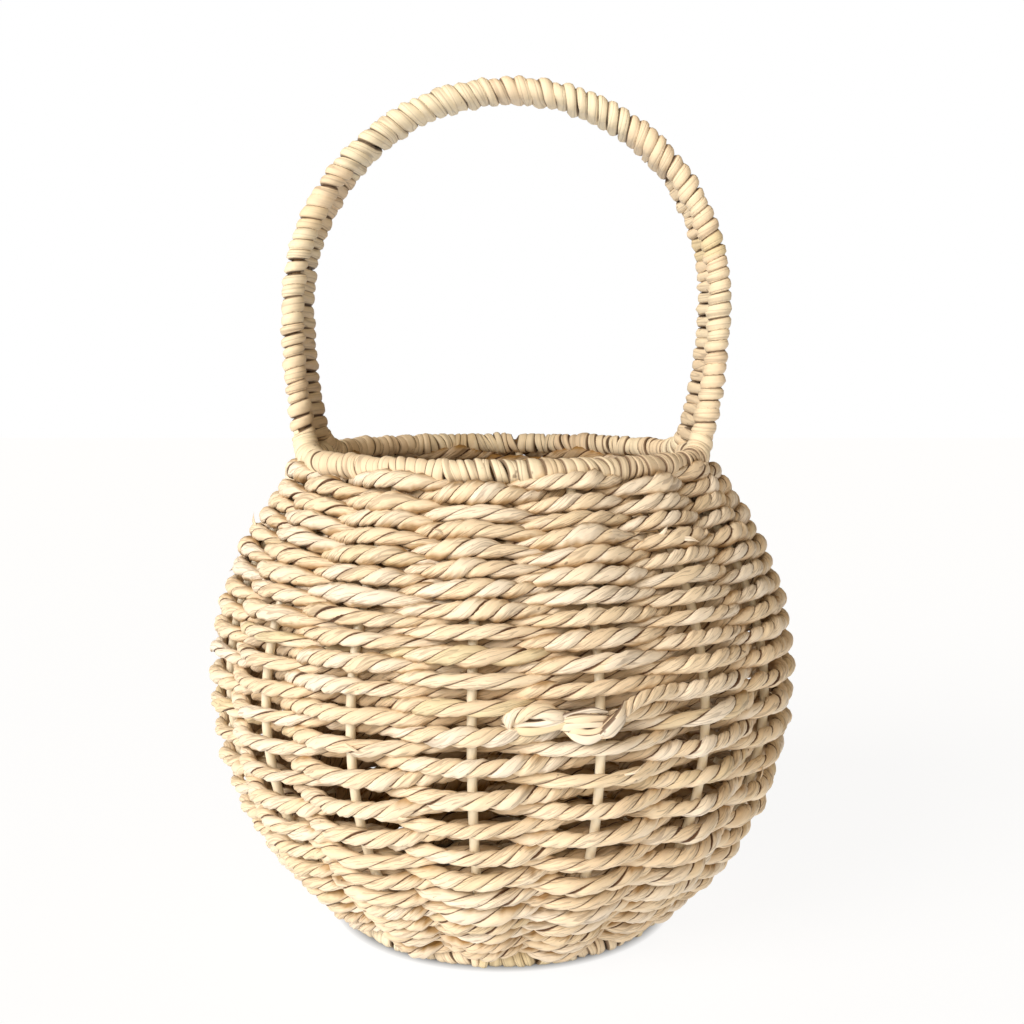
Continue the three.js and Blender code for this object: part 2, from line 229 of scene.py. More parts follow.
def lengthAlong(line):
    return np.concatenate([[0], np.cumsum(np.linalg.norm(np.diff(line, axis=0), axis=1))])


def unit(vectors):
    return vectors / np.linalg.norm(vectors, axis=1)[:, None]


def pointsAt(lengths, along, line):
    return np.stack([np.interp(lengths, along, line[:, i]) for i in range(3)], axis=1)


def levelOut(turn):
    return np.stack([np.cos(turn), np.sin(turn), np.zeros_like(turn)], axis=1)


# The smooth curve through knots: at is 1 at the second knot, 2 at the third and so on
def throughKnots(knots, at):
    below = np.clip(np.floor(at).astype(int), 1, len(knots) - 3)
    t = (at - below).reshape(-1, *[1] * (knots.ndim - 1))
    a, b, c, d = knots[below - 1], knots[below], knots[below + 1], knots[below + 2]
    bend = 2 * a - 5 * b + 4 * c - d
    return 0.5 * (2 * b + (c - a) * t + bend * t ** 2 + (3 * b - a - 3 * c + d) * t ** 3)


# From 0 to 1, slow at both ends
def smooth(t):
    t = np.clip(t, 0, 1)
    return t * t * (3 - 2 * t)


# Smooth, seeded wandering values, about half a unit either way
def wander(rng, places, spacing):
    knots = rng.normal(0.0, 0.5, int((places.max() - places.min()) / spacing) + 4)
    return throughKnots(knots, (places - places.min()) / spacing + 1)


# Values that wander about 1 by a share
def uneven(rng, places, share, spacing):
    return 1 + share * wander(rng, places, spacing)


# Leaves follow each other along a strand, and each ends in a slanting tip
strandLeaf = {"length": (30, 160), "slant": 5.0, "slantTurn": 0.7, "shades": (1.5, 1.8)}


# A shade from 0 to 1 for each leaf of a strand, at each of its corners
def leafTones(rng, along, corner):
    places = along[:, None] + strandLeaf["slant"] * np.cos(corner + strandLeaf["slantTurn"])
    joints = [0.0]
    while joints[-1] < along[-1]:
        joints.append(joints[-1] + rng.uniform(*strandLeaf["length"]))
    shades = rng.beta(*strandLeaf["shades"], len(joints) + 1)
    return shades[np.searchsorted(joints, places)]


# Skins rings (count, sides, 3), in mm, as one closed strand with its leaf UV. lean is how far the fibres
# drift round the strand for each mm along it. A crease line of painted shade is drawn where creases pass 0
# and is darkest from 1 up, and shades from 0 to 1 say where little light comes, for painted shade
def sweepStrand(name, rings, uAcross, vAlong, lean, tones, creases, shades, material):
    count, sides = rings.shape[:2]
    vertices = np.concatenate([rings.reshape(-1, 3), rings[:1].mean(axis=1), rings[-1:].mean(axis=1)]) * mm
    here = np.arange(sides)
    beside = (here + 1) % sides
    ring = np.arange(count - 1)[:, None] * sides
    quads = np.stack([ring + here, ring + beside, ring + sides + beside, ring + sides + here], axis=-1)
    last = (count - 1) * sides
    startCap = np.stack([np.full(sides, count * sides), beside, here], axis=-1)
    endCap = np.stack([np.full(sides, count * sides + 1), last + here, last + beside], axis=-1)
    mesh = bpy.data.meshes.new(name)
    loops = np.concatenate([quads.ravel(), startCap.ravel(), endCap.ravel()])
    sizes = np.concatenate([np.full(last, 4), np.full(2 * sides, 3)])
    mesh.vertices.add(len(vertices))
    mesh.vertices.foreach_set("co", vertices.ravel())
    mesh.loops.add(len(loops))
    mesh.loops.foreach_set("vertex_index", loops)
    mesh.polygons.add(len(sizes))
    mesh.polygons.foreach_set("loop_start", np.concatenate([[0], np.cumsum(sizes)[:-1]]))
    mesh.polygons.foreach_set("loop_total", sizes)
    mesh.polygons.foreach_set("use_smooth", np.ones(len(sizes), bool))
    mesh.update(calc_edges=True)
    uvLayer = mesh.uv_layers.new(name="leaf")
    u = np.append(uAcross, 2 * uAcross[-1] - uAcross[-2])[None] + lean * vAlong[:, None]
    leafUv = np.stack([u, np.broadcast_to(vAlong[:, None], u.shape)], axis=-1)
    quadUv = np.stack([leafUv[:-1, :-1], leafUv[:-1, 1:], leafUv[1:, 1:], leafUv[1:, :-1]], axis=2)
    uvs = np.concatenate([quadUv.reshape(-1, 2), np.zeros((2 * sides * 3, 2))]) * mm
    uvLayer.data.foreach_set("uv", uvs.ravel())
    for label, values in (("tone", tones), ("crease", creases), ("shade", shades)):
        attribute = mesh.attributes.new(label, "FLOAT", "POINT")
        attribute.data.foreach_set("value", np.concatenate([values.ravel(), [0.5, 0.5]]))
    mesh.validate()
    mesh.materials.append(material)
    strand = bpy.data.objects.new(name, mesh)
    bpy.context.collection.objects.link(strand)
    return strand


# A bend from a to c that is drawn towards b
def bendLine(a, b, c, count):
    t = np.linspace(0, 1, count)[:, None]
    return (1 - t) ** 2 * np.array(a) + 2 * t * (1 - t) * np.array(b) + t * t * np.array(c)


# Radius and height of a point on the ball, or past it by a reach along the ball's direction there
def besideBall(degrees, reach):
    a = math.radians(degrees)
    return (cage["ballRadius"] * math.cos(a) - reach * math.sin(a),
            cage["ballCentre"] + cage["ballRadius"] * math.sin(a) + reach * math.cos(a))


# The wall's line, as a rib runs: from the foot hoop to the ball, up the ball, and on to the rim hoop
def drawWallLine():
    turns = np.radians(np.linspace(cage["heel"], cage["shoulder"], 400))
    ball = np.stack([cage["ballRadius"] * np.cos(turns),
                     cage["ballCentre"] + cage["ballRadius"] * np.sin(turns)], axis=1)
    foot = bendLine((footHoop["radius"], footHoop["height"]), besideBall(cage["heel"], -cage["bendReach"]),
                    besideBall(cage["heel"], 0), cage["tailPoints"])
    rim = bendLine(besideBall(cage["shoulder"], 0), besideBall(cage["shoulder"], cage["bendReach"]),
                   (rimHoop["radius"], rimHoop["height"]), cage["tailPoints"])
    line = np.concatenate([foot, ball[1:], rim[1:]])
    along = lengthAlong(line)
    return along, line, unit(np.gradient(line, along, axis=0))


wallAlong, wallLine, wallSlope = drawWallLine()


# Points of the wall and its outward and upward directions, for arrays of place, turn and step out
def onWall(place, turn, out):
    radius, height = (np.interp(place, wallAlong, wallLine[:, i]) for i in (0, 1))
    slopeR, slopeZ = (np.interp(place, wallAlong, wallSlope[:, i]) for i in (0, 1))
    c, s = np.cos(turn), np.sin(turn)
    outward = np.stack([slopeZ * c, slopeZ * s, -slopeR], axis=1)
    upward = np.stack([slopeR * c, slopeR * s, slopeZ], axis=1)
    middle = np.stack([radius * c, radius * s, height], axis=1)
    return middle + outward * out[:, None], outward, upward


# Side weave: two ropes of two plies each, chasing each other up the cage
weave = {
    "rows": 48,
    "start": 7.1, "end": 4.3,        # from the hoops' middles to the first and last row
    "levelRows": 3.0, "stepUp": 0.2,       # end rows lie level, and step up in this share of a round
    "looseRow": 19.0, "looseSpread": 8.0, "looseExtra": 0.6,     # about this row, rows lie further apart
    "nestle": 5.6, "nestleRows": 4.0,      # a row that leans on a hoop's binding is this far from its middle
    "outerNestle": 0.2,              # outside the ribs a row leans on the rim by only this share
    "easeRows": 3.0,                 # this many rows at either end wobble and stand out less
    "ropeRadius": 2.6, "ribGap": 0.2,
    "standOff": 0.4,                 # how far the ropes stand out from the wall's line
    "plyReach": 1.05,                # a ply's middle, from the rope's middle
    "plyDeep": 1.7, "plyWide": 2.2,        # half sizes of a ply
    "twist": 20.0,                   # mm of rope for one full twist
    "lean": -0.45,                   # a ply's own twist turns its fibres back towards the rope's line
    "packed": 1.27,                  # rope height half way between ribs, for each mm that a row has
    "backPacked": 0.3,               # and this much more at the back
    "backTall": 0.62,                # the loose rows are taller at the back
    "edgeTall": 0.12, "edgeRows": 2.5,     # and so are the first rows, beside the foot
    "tall": 1.19, "looseTall": 0.87,       # at a rib, where the rows are close and where they are loose
    "thick": 1.15, "flat": 0.95,           # thickness half way between ribs, and at a rib
    "joinEvery": (90.0, 320.0), "joinExtra": 0.3, "joinLength": 8.0,     # where a ply's next leaf is laid in
    "creaseWide": 0.34,              # of the painted shade line between two plies
    "insideShade": 0.36, "insideDepth": 3.5,     # less light comes to a rope that runs inside the wall
    "footShade": 0.22, "footReach": 55.0,        # and to the rows near the foot
    "ringStep": 1.45,
    "sides": 10,
    "wobble": 0.7,
    # size, waves in a round, shift from row to row and start of each wave that the rows follow together
    "waves": ((0.55, 2, 0.17, 0.6), (0.4, 3, -0.11, 2.1), (0.35, 5, 0.31, 4.0), (0.25, 9, -0.5, 1.3)),
}
lastRow = weave["rows"] - 1


def rowPlaces():
    rows = np.arange(lastRow) + 0.5
    pitch = 1 + weave["looseExtra"] * np.exp(-((rows - weave["looseRow"]) / weave["looseSpread"]) ** 2)
    sums = np.concatenate([[0], np.cumsum(pitch)])
    span = wallAlong[-1] - weave["start"] - weave["end"]
    return weave["start"] + sums / sums[-1] * span


rowPlace = rowPlaces()


# The spiral's first and last rows lie level along the foot and the rim
def levelled(row):
    fraction = row - np.floor(row)
    atFoot = np.floor(row) + smooth((fraction - (1 - weave["stepUp"])) / weave["stepUp"])
    atRim = np.floor(row) + smooth(fraction / weave["stepUp"])
    nearFoot = 1 - smooth(row / weave["levelRows"])
    nearRim = 1 - smooth((lastRow - row) / weave["levelRows"])
    return row + nearFoot * (atFoot - row) + nearRim * (np.minimum(atRim, lastRow) - row)


ribStep = 2 * math.pi / cage["ribs"]
firstRib = math.radians(cage["firstRib"])


# Rows wander up and down together, round the basket
def wobbleField(turn, row):
    return sum(size * np.sin(waves * turn + shift * row + start)
               for size, waves, shift, start in weave["waves"])


# Middle line of one rope, evenly stepped: where it is on the wall, and how many ribs and rows it has passed
def ropePath(order):
    steps = np.linspace(0, lastRow / 2 * cage["ribs"], 24000)
    turn = firstRib + (cage["ribs"] / 4 + order * cage["ribs"] / 2 + steps) * ribStep
    row = 2 * steps / cage["ribs"]
    place = np.interp(levelled(row), np.arange(weave["rows"]), rowPlace)
    ease = np.clip(np.minimum(row, lastRow - row) / weave["easeRows"], 0, 1)
    place = place + weave["wobble"] * ease * wobbleField(turn, row)
    reach = cage["ribWire"] + weave["ribGap"] + weave["ropeRadius"] * weave["flat"]
    out = reach * np.cos(math.pi * (steps + order)) + weave["standOff"] * 2 * smooth(ease / 2)
    nestle = weave["nestle"] - np.sqrt(weave["nestle"] ** 2 - out ** 2)
    nearRim = np.clip(1 - (lastRow - row) / weave["nestleRows"], 0, 1)
    nearFoot = np.clip(1 - row / weave["nestleRows"], 0, 1)
    place = place + nestle * (np.where(out < 0, 1, weave["outerNestle"]) * nearRim - nearFoot)
    along = lengthAlong(onWall(place, turn, out)[0])
    even = np.arange(0, along[-1], weave["ringStep"])
    return even, *(np.interp(even, along, values) for values in (turn, place, out, steps, row))


# Unit section points, squarer as power falls below 1
def roundedCorners(sides, power):
    corner = 2 * math.pi * np.arange(sides) / sides
    c, s = np.cos(corner), np.sin(corner)
    return corner, np.sign(c) * np.abs(c) ** power, np.sign(s) * np.abs(s) ** power


# How much thicker a ply is at each place, where one leaf ends and the next is laid in
def leafJoins(rng, along, rope):
    extra = np.zeros_like(along)
    place = rng.uniform(*rope["joinEvery"])
    while place < along[-1]:
        extra += np.exp(-((along - place) / rope["joinLength"]) ** 2)
        place += rng.uniform(*rope["joinEvery"])
    return 1 + rope["joinExtra"] * extra


# What twisting by hand leaves uneven. Pairs are a share and the mm between changes
handTwist = {
    "pace": (0.45, 24), "paceRange": (0.7, 1.5),      # how tightly it is twisted
    "rope": (0.2, 40), "ply": (0.24, 10), "sizeRange": (0.86, 1.35),
    "section": (0.14, 9),
    "ridgeStep": 12, "ridgeDeep": 0.09, "ridgeWide": 0.07,
    "boxy": 0.74,
    "creaseDark": 1.1,       # painted shade where the plies meet
    "insideShade": 0.34, "insideDepth": 2.0,          # less light comes to a ply's inner side
    "roomShade": 0.8, "roomReach": 0.9,               # and to where it nears the next row
    "leafRound": 12.5,       # mm of leaf round a ply
}


# Two leaf plies twisted together round a middle line. They slant up to the right as seen from outside.
# tall and thick stretch the rope up and out, shade darkens it where little light comes, and room is how far
# up and down its neighbours lie
def twistPlies(name, rng, along, middle, outward, upward, tall, thick, shade, rope, room=None):
    pace = np.clip(uneven(rng, along, *handTwist["pace"]), *handTwist["paceRange"])
    rate = 1 / (rope["twist"] * pace)
    phase = -2 * math.pi * np.cumsum(rate) * rope["ringStep"] + rng.uniform(0, 6)
    sides = rope["sides"]
    corner, cosCorner, sinCorner = roundedCorners(sides, handTwist["boxy"])
    whole = uneven(rng, along, *handTwist["rope"])
    plies = []
    for ply in range(2):
        size = whole * uneven(rng, along, *handTwist["ply"]) * leafJoins(rng, along, rope)
        size = np.clip(size, *handTwist["sizeRange"])
        wide = rope["plyWide"] * size * uneven(rng, along, *handTwist["section"])
        deep = rope["plyDeep"] * size * uneven(rng, along, *handTwist["section"])
        ridges = np.stack([wander(rng, along, handTwist["ridgeStep"]) for _ in range(sides)], axis=1)
        ridged = 1 + handTwist["ridgeDeep"] * ridges
        x = rope["plyReach"] * size[:, None] + deep[:, None] * cosCorner * ridged
        y = wide[:, None] * sinCorner * (1 + handTwist["ridgeWide"] * ridges)
        angle = (phase + ply * math.pi)[:, None]
        up = (x * np.cos(angle) - y * np.sin(angle)) * tall[:, None]
        outwards = (x * np.sin(angle) + y * np.cos(angle)) * thick[:, None]
        rings = middle[:, None] + up[..., None] * upward[:, None] + outwards[..., None] * outward[:, None]
        tones = leafTones(rng, along, corner)
        creases = handTwist["creaseDark"] - x / rope["creaseWide"]         # the plies meet where x is 0
        inside = handTwist["insideShade"] * np.clip(-outwards / handTwist["insideDepth"], 0, 1)
        shades = np.clip(inside + shade[:, None], 0, 1)
        if room is not None:
            apart = room[:, None] - np.abs(up)
            pressed = np.clip(1 - apart / handTwist["roomReach"], 0, 1)
            shades = np.clip(shades + handTwist["roomShade"] * pressed ** 2, 0, 1)
        across = corner / (2 * math.pi) * handTwist["leafRound"] + rng.uniform(0, 500)
        plies.append(sweepStrand(f"{name}_ply_{ply + 1}", rings, across, along + rng.uniform(0, 900),
                                 rope["lean"], tones, creases, shades, huskRope))
    return plies


def weaveRope(order):
    rng = np.random.default_rng(101 + order)
    along, turn, place, out, steps, row = ropePath(order)
    middle, outward, upward = onWall(place, turn, out)
    pitch = np.interp(row, np.arange(lastRow) + 0.5, np.diff(rowPlace))
    atRib = np.abs(np.cos(math.pi * steps))          # 1 at a rib, 0 half way to the next
    share = weave["packed"] + weave["backPacked"] * np.clip(np.sin(turn) + 0.5, 0, 1)
    packed = np.clip(share * pitch / (2 * weave["ropeRadius"]), 0, 1)
    loose = np.exp(-((row - weave["looseRow"]) / (2 * weave["looseSpread"])) ** 2)
    tall = packed + (weave["tall"] + (weave["looseTall"] - weave["tall"]) * loose - packed) * atRib
    tall *= 1 + weave["backTall"] * loose * np.clip(np.sin(turn), 0, 1)
    tall *= 1 + weave["edgeTall"] * np.clip(1 - row / weave["edgeRows"], 0, 1)
    thick = weave["thick"] + (weave["flat"] - weave["thick"]) * atRib
    shade = (weave["insideShade"] * np.clip(-out / weave["insideDepth"], 0, 1)
             + weave["footShade"] * np.clip(1 - place / weave["footReach"], 0, 1))
    room = pitch / 2 * (1 + atRib)
    return twistPlies(f"rope_{'ab'[order]}", rng, along, middle, outward, upward, tall, thick, shade,
                      weave, room)


def fitPiece(piece, slot, *nodes):
    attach(piece, "root")
    if nodes:
        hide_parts(*nodes)


weaverNodes = {rope: [f"side_weaver_{rope}_{i}" for i in (1, 2, 3)] for rope in "ab"}
for order, rope in enumerate("ab"):
    for ply in weaveRope(order):
        fitPiece(ply, "husk_rope", *weaverNodes[rope])
print("side weave done")

# What every leaf that is laid flat or wound has, beside its own values
leafMake = {
    "deepUneven": 0.8, "tiltUneven": 0.6, "ridgeUneven": 0.8,      # as a share of the leaf's own unevenness
    "ridgeWide": 0.08, "ridgeDeep": 0.14,
    "edgeWide": 0.16,        # of the painted shade line where two turns meet
}


# A folded leaf. path is its middle line and face the way one of its sides looks. outer is 1 where that side
# looks out and -1 where it looks at the wire. width and depth scale the leaf on its way
def windLeaf(name, rng, path, face, leaf, width=1.0, depth=1.0, outer=1.0, flatten=None, material=huskStrip):
    along = lengthAlong(path)
    forward = unit(np.gradient(path, along, axis=0))
    face = unit(face - (face * forward).sum(axis=1)[:, None] * forward)
    side = np.cross(face, forward)
    sides = leaf["sides"]
    step = leaf["unevenStep"]
    corner, cosCorner, sinCorner = roundedCorners(sides, leaf["boxy"])
    wide = leaf["wide"] * width * uneven(rng, along, leaf["uneven"], step)
    deep = leaf["deep"] * depth * uneven(rng, along, leafMake["deepUneven"] * leaf["uneven"], step)
    ridges = np.stack([wander(rng, along, step * leafMake["ridgeUneven"]) for _ in range(sides)], axis=1)
    tilt = np.radians(leaf["tilt"] * uneven(rng, along, leafMake["tiltUneven"], step))[:, None]
    x = wide[:, None] * cosCorner * (1 + leafMake["ridgeWide"] * ridges)
    y = deep[:, None] * sinCorner * (1 + leafMake["ridgeDeep"] * ridges)
    across = x * np.cos(tilt) - y * np.sin(tilt)
    lift = x * np.sin(tilt) + y * np.cos(tilt)
    rings = path[:, None] + across[..., None] * side[:, None] + lift[..., None] * face[:, None]
    if flatten is not None:
        rings[..., 2] = np.maximum(rings[..., 2], flatten)
    tones = leafTones(rng, along, corner)
    # painted shade: a dark line where two turns meet, and darker where the leaf looks at the wire
    edge = np.minimum((np.abs(cosCorner) - leaf["touch"]) / leafMake["edgeWide"], leaf["edge"])
    creases = np.broadcast_to(edge, x.shape)
    shades = np.clip(-np.sin(corner) * np.broadcast_to(outer, along.shape)[:, None], 0, 1)
    uAcross = corner / (2 * math.pi) * 4 * leaf["wide"]
    return sweepStrand(name, rings, uAcross + rng.uniform(0, 500), along + rng.uniform(0, 900), 0.0,
                       tones, creases, shades, material)


# A smooth path over the weave through points given as degrees round, mm up the wall and mm out from it
def overWeave(points, count):
    points = np.array(points, float)
    knots = np.concatenate([[2 * points[0] - points[1]], points, [2 * points[-1] - points[-2]]])
    t = np.linspace(0, len(points) - 1, count)
    turn, place, out = throughKnots(knots, t + 1).T
    middle, outward = onWall(place, np.radians(turn), out)[:2]
    return t, middle, outward


def layLeaf(name, seed, points, leaf, startWidth=0.4, endWidth=0.4, outer=1.0):
    t, middle, outward = overWeave(points, 12 * (len(points) - 1) + 1)
    width = np.minimum(startWidth + (1 - startWidth) * smooth(t / 1.2),
                       endWidth + (1 - endWidth) * smooth((t[-1] - t) / 1.2))
    return windLeaf(name, np.random.default_rng(seed), middle, outward, leaf, width=width, depth=width,
                    outer=outer, material=huskRope)


def layRope(name, seed, points, rope):
    line, facing = overWeave(points, 400)[1:]
    along = lengthAlong(line)
    even = np.arange(0, along[-1], rope["ringStep"])
    middle, outward = (pointsAt(even, along, values) for values in (line, facing))
    upward = unit(np.cross(outward, np.gradient(middle, axis=0)))
    ones = np.ones_like(even)
    return twistPlies(name, np.random.default_rng(seed), even, middle, outward, upward, ones, ones, ones * 0,
                      rope)


# Where a new rope is tied in, on the front: a loop lies over the row, and its end is knotted beside a rib.
# Points are degrees round, mm up from the row and mm out from the wall
tieIn = {"row": 24.625, "turn": -72.5}
tieLeaf = {"wide": 1.35, "deep": 0.95, "boxy": 0.78, "tilt": 10.0, "edge": 0.9, "touch": 0.72, "uneven": 0.4,
           "unevenStep": 5.0, "sides": 12, "apart": 1.7, "knotWide": 1.9}
tieStrands = {
    "under_leaf": [(-90, -1, 0.5), (-87.5, -1.8, 3.6), (-84.5, -1.8, 5.6), (-81.5, -0.8, 6.6),
                   (-78.5, 0.8, 7.4), (-75.5, 1.8, 8.2), (-72.8, 1.2, 8)],
    "over_leaf": [(-82, -1.6, 5), (-79.5, -0.6, 7.2), (-76.5, 0, 8.8), (-74, -0.2, 9), (-72.4, -0.4, 8)],
    "hanging_lobe": [(-80.6, -1.2, 5.4), (-78.6, -3.2, 7.4), (-76.6, -4.3, 8.2), (-74.6, -3.4, 9),
                     (-72.6, -0.8, 9.6), (-71.4, 1.4, 9.2)],
    "knot_lobe": [(-75, -4.6, 8), (-73.4, -2.2, 10.8), (-71.4, 1.2, 11), (-70, 3.8, 8.6)],
}
tieStrand = dict(weave, twist=17.0, plyReach=0.95, plyDeep=1.45, plyWide=1.95)
tieRopes = {
    "loop": [(-89.4, -0.8, 2.4), (-87.6, 1.4, 5), (-85.4, 2.9, 6.2), (-83.2, 2.9, 6.4), (-81.2, 1.5, 6),
             (-79.6, 0.2, 5)],
    "tail": [(-70.4, 1.6, 8.6), (-68, 4, 7.8), (-65, 5.2, 6.8), (-61.5, 5.6, 5), (-58, 5.4, 2.4)],
}


def tieRope():
    wobble = wobbleField(math.radians(tieIn["turn"]), tieIn["row"])
    base = np.interp(tieIn["row"], np.arange(weave["rows"]), rowPlace) + weave["wobble"] * wobble
    pieces = []
    for i, (name, points) in enumerate(tieStrands.items()):
        leaf = dict(tieLeaf, wide=tieLeaf["knotWide"]) if name == "knot_lobe" else tieLeaf
        for j, half in enumerate((-0.5, 0.5)):         # each strand is two leaves side by side
            raised = [(degrees, base + up + half * leaf["apart"], out) for degrees, up, out in points]
            pieces.append(layLeaf(f"tie_{name}_{j + 1}", 51 + 2 * i + j, raised, leaf, 0.2, 0.4))
    for i, (name, points) in enumerate(tieRopes.items()):
        raised = [(degrees, base + up, out) for degrees, up, out in points]
        pieces += layRope(f"tie_{name}", 61 + i, raised, tieStrand)
    return pieces


for piece in tieRope():
    fitPiece(piece, "husk_rope", *weaverNodes["b"])

# Short leaf ends that stick out of the ropes here and there, and a frayed joint on the right shoulder
tipLeaf = {"wide": 0.85, "deep": 0.26, "boxy": 1.0, "tilt": 12.0, "edge": 0.4, "touch": 0.85, "uneven": 0.3,
           "unevenStep": 5.0, "sides": 8}
leafEnds = {
    "count": 26, "rows": (3, 45), "outside": 1.5,      # only where the rope is this far outside the wall
    "frayed": 7, "frayTurns": (-60.0, -49.0), "frayRow": 40.0, "frayReach": 1.2,
    "length": (3.0, 7.5), "rise": (-0.5, 0.9),         # rise for each mm of length
    "stray": 1.5,
    "root": 1.6, "bulge": 1.5, "tip": (0.8, 2.8),      # out from the rope's middle, and then from the root
}


def scatterLeafEnds():
    rng = np.random.default_rng(77)
    paths = [ropePath(0), ropePath(1)]
    low, high = np.radians(leafEnds["frayTurns"])
    for i in range(leafEnds["count"] + leafEnds["frayed"]):
        _, turn, place, out, _, row = paths[i % 2]
        if i < leafEnds["count"]:
            inReach = (row > leafEnds["rows"][0]) & (row < leafEnds["rows"][1]) & (out > leafEnds["outside"])
        else:
            here = (turn + math.pi) % (2 * math.pi) - math.pi
            nearRow = np.abs(row - leafEnds["frayRow"]) < leafEnds["frayReach"]
            inReach = (here > low) & (here < high) & nearRow
        at = rng.choice(np.flatnonzero(inReach))
        length = rng.uniform(*leafEnds["length"]) * rng.choice((-1, 1))
        degrees = math.degrees(length / cage["ballRadius"])
        rise = rng.uniform(*leafEnds["rise"]) * abs(length)
        stray = rng.uniform(-leafEnds["stray"], leafEnds["stray"])
        start = (math.degrees(turn[at]), place[at] + stray, out[at] + leafEnds["root"])
        middle = (start[0] + 0.5 * degrees, start[1] + 0.35 * rise, start[2] + leafEnds["bulge"])
        end = (start[0] + degrees, start[1] + rise, start[2] + rng.uniform(*leafEnds["tip"]))
        yield layLeaf(f"leaf_end_{i + 1}", 200 + i, [start, middle, end], tipLeaf, 0.8, 0.05, outer=0.2)


tips = list(scatterLeafEnds())
clearSelection()
for tip in tips:
    tip.select_set(True)
bpy.context.view_layer.objects.active = tips[0]
bpy.ops.object.join()
tips[0].name = "leaf_ends"
fitPiece(tips[0], "husk_rope", *weaverNodes["a"], *weaverNodes["b"])
print("knot and leaf ends done")

# Husk wound on the hoops, turn beside turn
rimLeaf = {"wide": 1.95, "deep": 1.05, "boxy": 0.82, "tilt": -9.0, "edge": 0.85, "touch": 0.7,
           "uneven": 0.3, "unevenStep": 14.0, "sides": 12, "pitch": 3.1, "stray": 0.42, "sway": 0.45,
           "lift": 3.1, "perTurn": 28}
footLeaf = {"wide": 2.05, "deep": 1.5, "boxy": 1.0, "tilt": -6.0, "edge": 0.9, "touch": 0.75,
            "uneven": 0.3, "unevenStep": 14.0, "sides": 12, "pitch": 3.8, "stray": 0.5, "sway": 0.4,
            "lift": 2.75, "perTurn": 28}
# Turns stray one by one, drift together, slant and lie higher or lower. The steps are turns between changes
hoopTurns = {"strayStep": 1.3, "drift": 0.9, "driftStep": 5.0, "swayStep": 1.6,
             "heave": 0.6, "heaveStep": 0.8, "room": (0.55, 1.6)}


# How wide each turn is between its neighbours, where 1 is as wide as the pitch
def roomBetween(t, stray, limits):
    return np.clip(1 + (np.interp(t + 1, t, stray) - np.interp(t - 1, t, stray)) / 2, *limits)


def bindHoop(name, seed, hoop, leaf, flatten=None):
    rng = np.random.default_rng(seed)
    turns = int(2 * math.pi * hoop["radius"] / leaf["pitch"])
    t = np.arange(turns * leaf["perTurn"] + 8) / leaf["perTurn"]
    wind = 2 * math.pi * t
    stray = leaf["stray"] * wander(rng, t, hoopTurns["strayStep"])
    stray += hoopTurns["drift"] * wander(rng, t, hoopTurns["driftStep"])
    step = hoopTurns["swayStep"]
    sway = leaf["sway"] * (wander(rng, t, step) * np.cos(wind) + wander(rng, t, step) * np.sin(wind))
    about = (t + stray + sway) / turns * 2 * math.pi + rng.uniform(0, 6)
    lift = leaf["lift"] + hoopTurns["heave"] * wander(rng, t, hoopTurns["heaveStep"])
    outward = levelOut(about)
    face = np.cos(wind)[:, None] * outward - np.sin(wind)[:, None] * np.array([0, 0, 1.0])
    path = outward * hoop["radius"] + np.array([0, 0, hoop["height"]]) + face * lift[:, None]
    return windLeaf(name, rng, path, face, leaf, width=roomBetween(t, stray, hoopTurns["room"]),
                    flatten=flatten)


fitPiece(bindHoop("rim_husk", 7, rimHoop, rimLeaf), "husk_binding", "rim_binding")
fitPiece(bindHoop("foot_husk", 8, footHoop, footLeaf, flatten=0.0), "husk_binding", "foot_binding")
print("rim and foot bound")


# Handle: two bows leaning together. The husk goes round each in turn, in a figure of eight, and round both
# together where they are close, at the crown
handle = {
    "archRadius": 77.5, "archHeight": 229.0,
    "footSpread": 19.0, "crownSpread": 4.6,      # half the gap between the bows
    "lean": 2.8,
    "start": 5.0,            # above the rim, inside the lashing
    "reach": 2.4,            # from a bow's wire to the middle of its husk
    "together": 7.6,         # half the gap between the bows where the husk starts to go round both
    "pitch": 4.25,
    "slant": 0.6, "legSlant": 0.3,         # pitches that the husk gains on its way down the front
    "slantFrom": 13.0, "slantOver": 6.0,   # it slants as on the legs down to this half gap, and then more
    "crownBack": 0.6,        # where it goes round both bows, it takes back this share on its way up behind
    "stray": 0.24, "strayStep": 1.3, "room": (0.85, 1.4),
    "swell": 0.5, "swellStep": 0.8,        # some turns lie higher than others
    "crossing": 0.15,        # between the bows the leaf is pulled narrower by this share
    "perTurn": 44,
}
handleLeaf = {"wide": 2.42, "deep": 1.95, "boxy": 1.0, "tilt": 0.0, "edge": 0.85, "touch": 0.74,
              "uneven": 0.22, "unevenStep": 10.0, "sides": 12}


